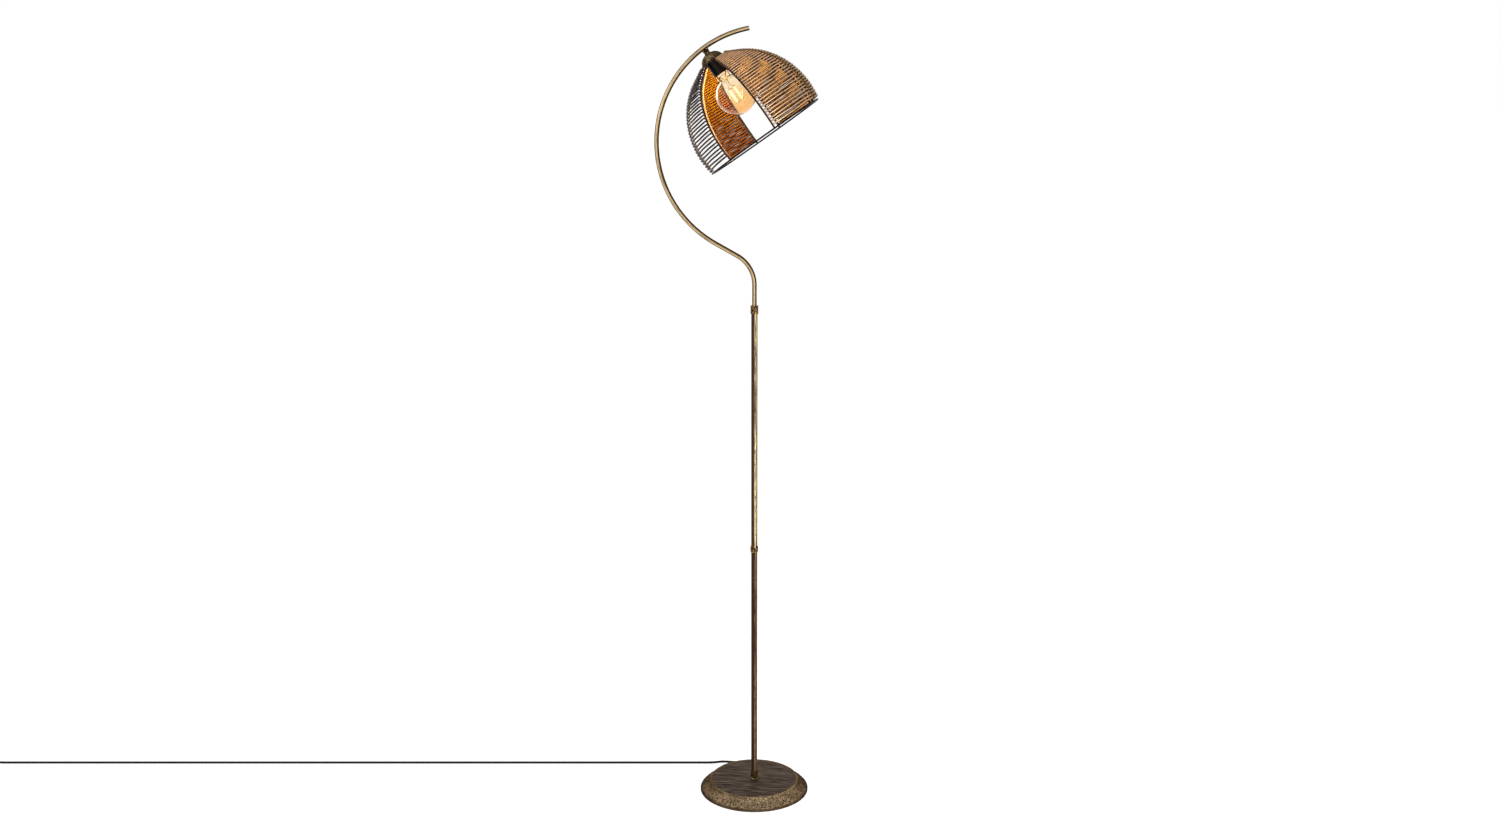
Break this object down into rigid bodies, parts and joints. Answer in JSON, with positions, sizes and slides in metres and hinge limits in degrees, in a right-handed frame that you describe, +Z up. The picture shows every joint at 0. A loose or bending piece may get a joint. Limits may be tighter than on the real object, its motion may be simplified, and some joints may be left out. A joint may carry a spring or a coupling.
{
  "type": "floor lamp",
  "caption": "Floor lamp with a weighted round base, straight pole, hooped arm and an open shade of parallel wires round a globe bulb.",
  "frame": {"origin": "centre of the base on the floor, under the pole", "axes": "+Z up along the pole; the arm and head lie in the XZ plane, the open side of the shade towards +X; -Y is the side the picture is taken from"},
  "size_m": [2.0675, 0.2574, 1.5925],
  "materials": {
    "pad_felt": "pressed felt",
    "zinc_steel": "zinc plated",
    "weight_iron": "raw casting",
    "base_bronze": "brushed dark bronze lacquer",
    "antique_brass": "antique brass plating, brushed",
    "pole_bronze": "antique brass plating, darker",
    "cord_black": "satin black sheath",
    "cable_white": "plain insulation",
    "bakelite_black": "moulded",
    "porcelain": "glazed porcelain",
    "nickel": "nickel plated",
    "fibre": "vulcanised fibre",
    "bulb_glass": "clear, amber tint",
    "bulb_inner": "clear",
    "filament": "glowing phosphor strip",
    "shade_dark": "antique bronze lacquer",
    "shade_copper": "antique copper lacquer",
    "shade_amber": "antique copper lacquer, bright",
    "rim_steel": "dark gunmetal lacquer",
    "plastic_black": "moulded"
  },
  "bodies": {
    "stand": {"base_pad": "pad_felt", "base_plate": "zinc_steel", "base_weight": "weight_iron", "base_cover": "base_bronze", "base_nipple": "zinc_steel", "base_washer": "zinc_steel", "base_nut": "zinc_steel", "cord_strain_relief": "plastic_black", "base_cable": "cord_black", "base_ferrule": "pole_bronze", "lower_pole": "pole_bronze", "pole_collar": "antique_brass", "pole_joint_nipple": "zinc_steel", "upper_pole": "antique_brass", "top_collar": "antique_brass", "swivel_bush": "nickel", "pole_cable": "cable_white", "cord_lead": "cord_black", "cord_link": "cord_black", "cord_coil": "cord_black", "cord_tail": "cord_black", "coil_tie": "plastic_black", "switch_base": "plastic_black", "switch_cover": "plastic_black", "switch_screws": "zinc_steel", "plug_body": "plastic_black", "plug_pins": "nickel"},
    "arm": {"arm_tube": "antique_brass", "arm_collar": "antique_brass", "arm_boss": "antique_brass", "arm_cable": "cable_white", "arm_end_plug": "plastic_black"},
    "head": {"head_nipple": "zinc_steel", "head_wires": "cable_white", "stem_ring": "antique_brass", "fibre_washer": "fibre", "head_nut": "zinc_steel", "cup": "antique_brass", "holder_cap": "bakelite_black", "holder_body": "bakelite_black", "holder_core": "porcelain", "holder_shell": "nickel", "holder_contact": "nickel", "bulb_cap": "nickel", "bulb_insulator": "bakelite_black", "bulb_contact": "nickel", "bulb_glass": "bulb_glass", "bulb_stem": "bulb_inner", "bulb_filaments": "filament", "bulb_leads": "nickel", "shade_top_plate": "shade_dark", "ribs_right": "shade_copper", "ribs_back_left": "shade_copper", "ribs_front_left": "shade_dark", "wires_front_right": "shade_copper", "wires_back_right": "shade_amber", "wires_back_left": "shade_amber", "wires_front_left": "shade_dark", "rim_wire": "rim_steel"},
    "rocker": {"switch_rocker": "plastic_black"}
  },
  "joints": [
    {"name": "arm_swivel", "type": "hinge", "parent": "stand", "child": "arm", "pos_m": [0, 0, 1.0383], "axis": [0, 0, 1], "range_deg": [-170, 170]},
    {"name": "head_turn", "type": "hinge", "parent": "arm", "child": "head", "pos_m": [-0.09949, 0, 1.55069], "axis": [0.5764, 0, -0.8171], "range_deg": [-150, 150]},
    {"name": "switch_rocker_tilt", "type": "hinge", "parent": "stand", "child": "rocker", "pos_m": [-1.77659, -0.04886, 0.0134], "axis": [-0.0958, 0.9954, 0], "range_deg": [0, 7.5]}
  ]
}
